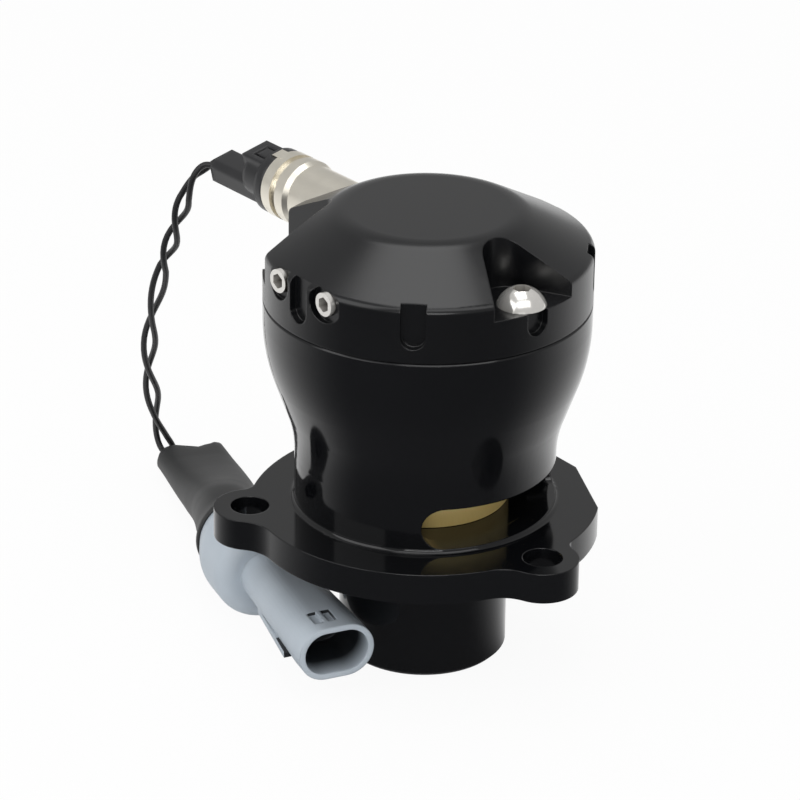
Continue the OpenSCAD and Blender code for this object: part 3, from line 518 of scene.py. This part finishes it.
def noise(vector, scale, detail):
    return vector.node("ShaderNodeTexNoise", {"noise_dimensions": "3D"},
                       {"Vector": vector, "Scale": scale, "Detail": detail})


def ramp(signal, start, end, low=0.0, high=1.0, kind="LINEAR"):
    """A value that runs from low to high as the signal runs from start to end."""
    return signal.node("ShaderNodeMapRange", {"interpolation_type": kind},
                       {0: signal, 1: start, 2: end, 3: low, 4: high})


print("texture helpers ready")

# %% Finish helpers
MIX_SHARE, MIX_A, MIX_B, MIX_RESULT = 0, 6, 7, 2
SHADING_SAMPLES = 8


def as_colour(value):
    return value if isinstance(value, Signal) else (*value, 1)


def blended(share, first, second):
    """A mix of two colours, each three numbers or a signal."""
    sockets = {MIX_SHARE: share, MIX_A: as_colour(first), MIX_B: as_colour(second)}
    return share.node("ShaderNodeMix", {"data_type": "RGBA"}, sockets, out=MIX_RESULT)


def weighed(first, second, share):
    """Two textures in one, with the given share of the first."""
    return first * share + second * (1 - share)


def between(low, high, share):
    return low + (high - low) * share


def close_finish(material, tree, height, bump=0.1, depth=0.02 * MM, edge=None, **sockets):
    values = {key.replace("_", " "): value for key, value in sockets.items()}
    relief = {"Strength": bump, "Distance": depth, "Height": height}
    if edge:
        relief["Normal"] = tree.node("ShaderNodeBevel", {"samples": SHADING_SAMPLES},
                                     {"Radius": edge})
    values["Normal"] = tree.node("ShaderNodeBump", None, relief)
    shader = tree.node("ShaderNodeBsdfPrincipled", None, values)
    tree.node("ShaderNodeOutputMaterial", None, {"Surface": shader})
    return material


print("finish helpers ready")

# %% [markdown]
# ## Black anodise
# Anodised aluminium is a dark glassy skin on turned metal. The barrel and flange are nearly
# polished and mirror their surroundings, while the cap has a satin face. Both keep the faint rings
# of the lathe, which a noise over radius and height gives, and a slow change of gloss from
# handling.

# %% Anodised finishes
ANODISE_DARK, ANODISE_PALE = (0.0026, 0.0028, 0.0034), (0.0046, 0.0049, 0.0058)
ANODISE_EDGE = 0.3 * MM
ANODISE_IOR = 1.5


def anodised(name, gloss_low, gloss_high, ring_bump):
    material, tree = start_finish(name)
    place = place_of(tree)
    x, y, z = parts_of(place)
    radius = (x * x + y * y) ** 0.5
    rings_of_lathe = noise(vector_of(radius, z, 0), scale=2600, detail=3)
    handling = noise(place, scale=55, detail=3)
    grain = noise(place, scale=9000, detail=1)
    gloss = between(gloss_low, gloss_high, weighed(handling, rings_of_lathe, share=0.6))
    return close_finish(material, tree, height=weighed(rings_of_lathe, grain, share=0.7),
                        bump=ring_bump, edge=ANODISE_EDGE, Roughness=gloss, IOR=ANODISE_IOR,
                        Base_Color=blended(handling, ANODISE_DARK, ANODISE_PALE))


glossy_anodise = anodised("glossy_black_anodise", 0.06, 0.13, ring_bump=0.05)
satin_anodise = anodised("satin_black_anodise", 0.2, 0.28, ring_bump=0.08)
print("made", glossy_anodise.name, "and", satin_anodise.name)

# %% [markdown]
# ## Brass
# The piston is brass with fine lines along its axis, so its noise runs over the angle and hardly
# over the height. Its upper band is painted brighter in colour, as painted light for the light that
# its upper part catches from above. It sits in a deep slot with little to mirror, and pure metal
# would turn black there, so it is set as only part metal.

# %% Brass finish
BRASS_DARK, BRASS_BRIGHT = (0.7, 0.49, 0.14), (1.0, 0.86, 0.44)
BRASS_METAL = 0.25
LINES_ROUND, LINES_ALONG = 120, 90
LIT_BAND_FROM, LIT_BAND_TO = 33 * MM, 36 * MM
STAIN_PART, LINE_PART, LIT_BAND_PART, DARKER_BY = 0.2, 0.5, 0.5, 0.12


def brass():
    material, tree = start_finish("lined_brass")
    place = place_of(tree)
    x, y, z = parts_of(place)
    angle = tree.math("ARCTAN2", y, x)
    lines = noise(vector_of(angle * LINES_ROUND, z * LINES_ALONG, 0), scale=3, detail=4)
    stains = noise(place, scale=260, detail=3)
    # painted light: the upper band is made brighter in colour, for the light it catches from above
    painted_lit_band = ramp(z, LIT_BAND_FROM, LIT_BAND_TO, kind="SMOOTHSTEP")
    brightness = stains * STAIN_PART + lines * LINE_PART + painted_lit_band * LIT_BAND_PART - DARKER_BY
    return close_finish(material, tree, height=lines, bump=0.25, Metallic=BRASS_METAL,
                        Base_Color=blended(brightness, BRASS_DARK, BRASS_BRIGHT),
                        Roughness=between(0.28, 0.44, lines))


lined_brass = brass()
print("made", lined_brass.name)

# %% [markdown]
# ## Steel, nickel, iron and copper
# The screws and plugs are polished stainless steel. Their hex sockets are darkened by how much of
# the open a point sees, because a small hollow lies in its own shade. The solenoid is nickel plate,
# warm in colour, with turned rings along its own axis. The springs, the iron and the copper inside
# the solenoid come from the same function, with plainer colours.

# %% Metal finishes
STAINLESS_METAL = 0.72
STAINLESS_HOLLOW = (0.06, 0.045, 0.03)
HOLLOW_SIZE = 2 * MM
HOLLOW_FROM, HOLLOW_TO = 0.3, 0.75


def turned_metal(name, low, high, rough_low, rough_high, axis, metallic=1.0, hollow=None):
    """A bright metal with lathe rings along the given axis."""
    material, tree = start_finish(name)
    place = place_of(tree)
    lathe = noise(vector_of(parts_of(place)[axis], 0, 0), scale=5200, detail=4)
    smudge = noise(place, scale=320, detail=3)
    colour = blended(weighed(smudge, lathe, share=0.6), low, high)
    if hollow:
        in_the_open = tree.node("ShaderNodeAmbientOcclusion", {"samples": SHADING_SAMPLES},
                                {"Distance": HOLLOW_SIZE}, out="AO")
        colour = blended(ramp(in_the_open, HOLLOW_FROM, HOLLOW_TO), hollow, colour)
    roughness = between(rough_low, rough_high, weighed(smudge, lathe, share=0.5))
    return close_finish(material, tree, height=lathe, bump=0.08, Base_Color=colour,
                        Metallic=metallic, Roughness=roughness)


bright_stainless = turned_metal("bright_stainless", (0.82, 0.8, 0.76), (0.95, 0.93, 0.89),
                                0.12, 0.22, AXIS_Z, STAINLESS_METAL, STAINLESS_HOLLOW)
warm_nickel = turned_metal("warm_nickel", (0.84, 0.79, 0.68), (0.95, 0.91, 0.81),
                           0.26, 0.38, AXIS_Y)
drawn_steel = turned_metal("drawn_steel", (0.4, 0.4, 0.41), (0.62, 0.62, 0.63),
                           0.25, 0.45, AXIS_Z)
soft_iron = turned_metal("soft_iron", (0.32, 0.32, 0.33), (0.5, 0.5, 0.52), 0.3, 0.45, AXIS_Y)
enamelled_copper = turned_metal("enamelled_copper", (0.4, 0.15, 0.06), (0.66, 0.3, 0.14),
                                0.3, 0.4, AXIS_Y)
tinned_metal = turned_metal("tinned_contact", (0.55, 0.54, 0.5), (0.74, 0.72, 0.67),
                            0.25, 0.4, AXIS_Y)
print("metals:", bright_stainless.name, warm_nickel.name, drawn_steel.name, soft_iron.name)

# %% [markdown]
# ## Polymers and rubber
# A moulded part has a fine spark texture, a skin that is a little shinier in patches, and scuffs
# that lighten it. One function makes them all, from a dark and a light colour and a size of grain,
# because the real ones differ in little more than that. The connector's hood is darkened inside, by
# the way its wall faces and how deep it lies, because little light gets in there.

# %% Moulded finishes
HOOD_MOUTH = Vector((-28.03, -9.35, 10.3)) * MM
HOOD_DEPTH = 12.5 * MM
HOOD_FADE_FROM, HOOD_FADE_TO = 0.3 * MM, 5 * MM
HOOD_INWARD = 0.05 * MM
HOOD_SHADE = (0.012, 0.014, 0.017)
MOULD_DEPTH = 0.03 * MM


def inside_hood(place):
    """1 deep inside the connector's hood, 0 on its outside, told apart by the way the wall faces."""
    x, y, z = (part - at for part, at in zip(parts_of(place), HOOD_MOUTH))
    facing = parts_of(place.node("ShaderNodeNewGeometry", out="True Normal"))
    depth = x * -CONNECTOR_DIR.x - y * CONNECTOR_DIR.y
    across = x * -CONNECTOR_DIR.y + y * CONNECTOR_DIR.x
    faces_across = facing[0] * -CONNECTOR_DIR.y + facing[1] * CONNECTOR_DIR.x
    inward = place.math("LESS_THAN", across * faces_across + z * facing[2], HOOD_INWARD)
    before_floor = place.math("LESS_THAN", depth, HOOD_DEPTH)
    return inward * before_floor * ramp(depth, HOOD_FADE_FROM, HOOD_FADE_TO)


def moulded(name, low, high, rough_low, rough_high, grain_scale=5200, bump=0.15, edge=None,
            shaded=None):
    material, tree = start_finish(name)
    place = place_of(tree)
    grain = noise(place, grain_scale, detail=2)
    patches = noise(place, scale=140, detail=4)
    colour = blended(weighed(patches, grain, share=0.75), low, high)
    if shaded:
        colour = blended(shaded(place), colour, HOOD_SHADE)
    roughness = between(rough_low, rough_high, weighed(patches, grain, share=0.6))
    return close_finish(material, tree, height=grain, bump=bump, depth=MOULD_DEPTH, edge=edge,
                        Base_Color=colour, Roughness=roughness)


grey_polymer = moulded("blue_grey_polymer", (0.42, 0.475, 0.53), (0.5, 0.555, 0.61), 0.4, 0.58,
                       edge=0.55 * MM, shaded=inside_hood)
black_polymer = moulded("matt_black_polymer", (0.009, 0.009, 0.01), (0.02, 0.02, 0.022),
                        0.28, 0.42, edge=1.2 * MM)
wire_jacket = moulded("wire_jacket", (0.005, 0.005, 0.006), (0.013, 0.013, 0.014), 0.34, 0.5,
                      grain_scale=7000)
shrink_sleeve = moulded("shrink_sleeve", (0.012, 0.012, 0.013), (0.026, 0.027, 0.027), 0.48, 0.62,
                        grain_scale=1500, bump=0.3)
seal_rubber = moulded("seal_rubber", (0.008, 0.008, 0.008), (0.016, 0.016, 0.016), 0.55, 0.7)
ring_polymer = moulded("ring_polymer", (0.05, 0.044, 0.04), (0.1, 0.09, 0.08), 0.45, 0.6)
bobbin_polymer = moulded("bobbin_polymer", (0.62, 0.57, 0.47), (0.78, 0.73, 0.62), 0.4, 0.55)
print("polymers:", grey_polymer.name, black_polymer.name, shrink_sleeve.name)

# %% [markdown]
# ## Dressing the solids
# The record says which slot each node belongs to. The table here gives each slot its finish, and
# the cap is told apart from the body, because its face is satin.

# %% Dress
FINISH_OF_SLOT = {
    "black_anodise": glossy_anodise, "brass": lined_brass, "ring_polymer": ring_polymer,
    "seal_rubber": seal_rubber, "spring_steel": drawn_steel, "stainless": bright_stainless,
    "nickel": warm_nickel, "soft_iron": soft_iron, "bobbin_polymer": bobbin_polymer,
    "copper": enamelled_copper, "black_polymer": black_polymer, "wire_jacket": wire_jacket,
    "shrink_sleeve": shrink_sleeve, "grey_polymer": grey_polymer, "contact_metal": tinned_metal}
FINISH_OF_NODE = {"cap": satin_anodise}


def dress(piece, material):
    if piece.material_slots:
        for material_slot in piece.material_slots:
            material_slot.material = material
    else:
        piece.data.materials.append(material)


for row in frame["record"]["subparts"]:
    slot_finish = FINISH_OF_SLOT[row["material_slot"]]
    dress(nodes[row["node"]], FINISH_OF_NODE.get(row["node"], slot_finish))
for piece, _ in wires:
    dress(piece, wire_jacket)
dress(boot, shrink_sleeve)
dress(vented_body, glossy_anodise)
for piece in springs:
    dress(piece, drawn_steel)

# %% [markdown]
# ## The floor
# The picture has a white ground. The floor is a plain pale sheet that takes the shadow, and most of
# what the camera sees of it is set to white by the kind of ray, so that the lamps can stay at a
# plain level. Reflections see the floor too, but there it is dim on the side that the picture was
# taken from, as if a dark sheet lay in that place: a black glossy part is drawn by what it mirrors.

# %% Floor sheet
FLOOR_HALF = 3.0
FLOOR_DROP = 0.0002
floor_mesh = bpy.data.meshes.new("floor")
floor_corners = [(-FLOOR_HALF, -FLOOR_HALF, 0), (FLOOR_HALF, -FLOOR_HALF, 0),
                 (FLOOR_HALF, FLOOR_HALF, 0), (-FLOOR_HALF, FLOOR_HALF, 0)]
floor_mesh.from_pydata(floor_corners, [], [(0, 1, 2, 3)])
floor = bpy.data.objects.new("floor", floor_mesh)
scene.collection.objects.link(floor)
floor.location.z = -FLOOR_DROP
print("floor side in m:", 2 * FLOOR_HALF)

# %% Floor finish
WHITE, PAPER, DIM = (1, 1, 1, 1), (0.9, 0.9, 0.9, 1), (0.12, 0.12, 0.125, 1)
DIM_FROM, DIM_TO = math.radians(48), math.radians(128)
WHITE_TO_CAMERA = 0.94


def kinds_of_ray(tree):
    """1 on rays from the camera, and 1 on rays that were mirrored or passed through."""
    shown, mirrored, through = (tree.node("ShaderNodeLightPath", out=f"Is {kind} Ray")
                                for kind in ("Camera", "Glossy", "Transmission"))
    return shown, mirrored + through


floor_paper, tree = start_finish("floor_paper")
shown, reflected = kinds_of_ray(tree)
paper = tree.node("ShaderNodeBsdfDiffuse", None, {"Color": PAPER})
white = tree.node("ShaderNodeEmission", None, {"Color": WHITE, "Strength": 1.0})
dim = tree.node("ShaderNodeEmission", None, {"Color": DIM, "Strength": 1.0})
x, y = parts_of(place_of(tree))[:2]
before = (x * FRONT[0] + y * FRONT[1]) / (x * x + y * y) ** 0.5
around = ramp(before, math.cos(DIM_TO), math.cos(DIM_FROM), 1.0, 0.0, "SMOOTHSTEP")
ground = tree.node("ShaderNodeMixShader", None, {
    0: shown + (1 - shown) * around, 1: dim, 2: white})
mixed = tree.node("ShaderNodeMixShader", None, {
    0: shown * WHITE_TO_CAMERA + reflected, 1: paper, 2: ground})
tree.node("ShaderNodeOutputMaterial", None, {"Surface": mixed})
dress(floor, floor_paper)
print("made", floor_paper.name)

# %% [markdown]
# ## The surroundings
# The camera sees a white world. Reflections see a grey one, a little paler behind the valve, and
# everything else is lit by an even fill, so that no side of the part goes black.

# %% Surroundings
FILL = 0.42
MIRRORED_IN_FRONT, MIRRORED_BEHIND = 0.4, 0.46
PALER_FROM, PALER_TO = 0.35, -0.6

world = bpy.data.worlds.new("studio")
scene.world = world
world.use_nodes = True
world.node_tree.nodes.clear()
sky = Signal(world.node_tree)
shown, reflected = kinds_of_ray(sky)
look = sky.node("ShaderNodeTexCoord", out="Generated")
facing = sky.node("ShaderNodeVectorMath", {"operation": "DOT_PRODUCT"}, {0: look, 1: FRONT},
                  out="Value")
paler_behind = ramp(facing, PALER_FROM, PALER_TO, MIRRORED_IN_FRONT, MIRRORED_BEHIND, "SMOOTHSTEP")
strength = shown + (1 - shown) * (reflected * paler_behind + (1 - reflected) * FILL)
ground = sky.node("ShaderNodeBackground", None, {"Color": WHITE, "Strength": strength})
sky.node("ShaderNodeOutputWorld", None, {"Surface": ground})
print("world:", world.name)

# %% [markdown]
# ## The lamps
# Wide softboxes give long soft highlights, as in a studio. One hangs overhead, one stands at the
# left and one is high in front. The low one shines through the vent onto the piston, which the
# others can't reach.

# %% Lamps
CAP_TOP, VENT_AIM = (0, 0, 0.08), (0, 0, 0.035)
LAMPS = [
    # name, place, aim, size, watts
    ("overhead_softbox", (0.05, 0.1, 0.95), CAP_TOP, (0.55, 0.7), 2.4),
    ("left_softbox", (-0.9, 0.15, 0.62), CAP_TOP, (0.9, 0.8), 3.4),
    ("low_softbox", (-0.58, -0.69, 0.2), VENT_AIM, (0.5, 0.16), 1.3),
    ("front_softbox", (-0.3, -0.62, 1.0), CAP_TOP, (1.2, 0.6), 3.4)]

for name, place, aim, size, watts in LAMPS:
    lamp = bpy.data.lights.new(name, "AREA")
    lamp.shape = "RECTANGLE"
    lamp.size, lamp.size_y = size
    lamp.energy = watts
    softbox = bpy.data.objects.new(name, lamp)
    scene.collection.objects.link(softbox)
    softbox.location = place
    softbox.rotation_euler = (Vector(aim) - Vector(place)).to_track_quat("-Z", "Y").to_euler()
print("lamps:", len(LAMPS))

# %% [markdown]
# ## Colour and the end
# The view is left plain, so that a colour renders as it is written.

# %% Finish
scene.view_settings.view_transform = "Standard"
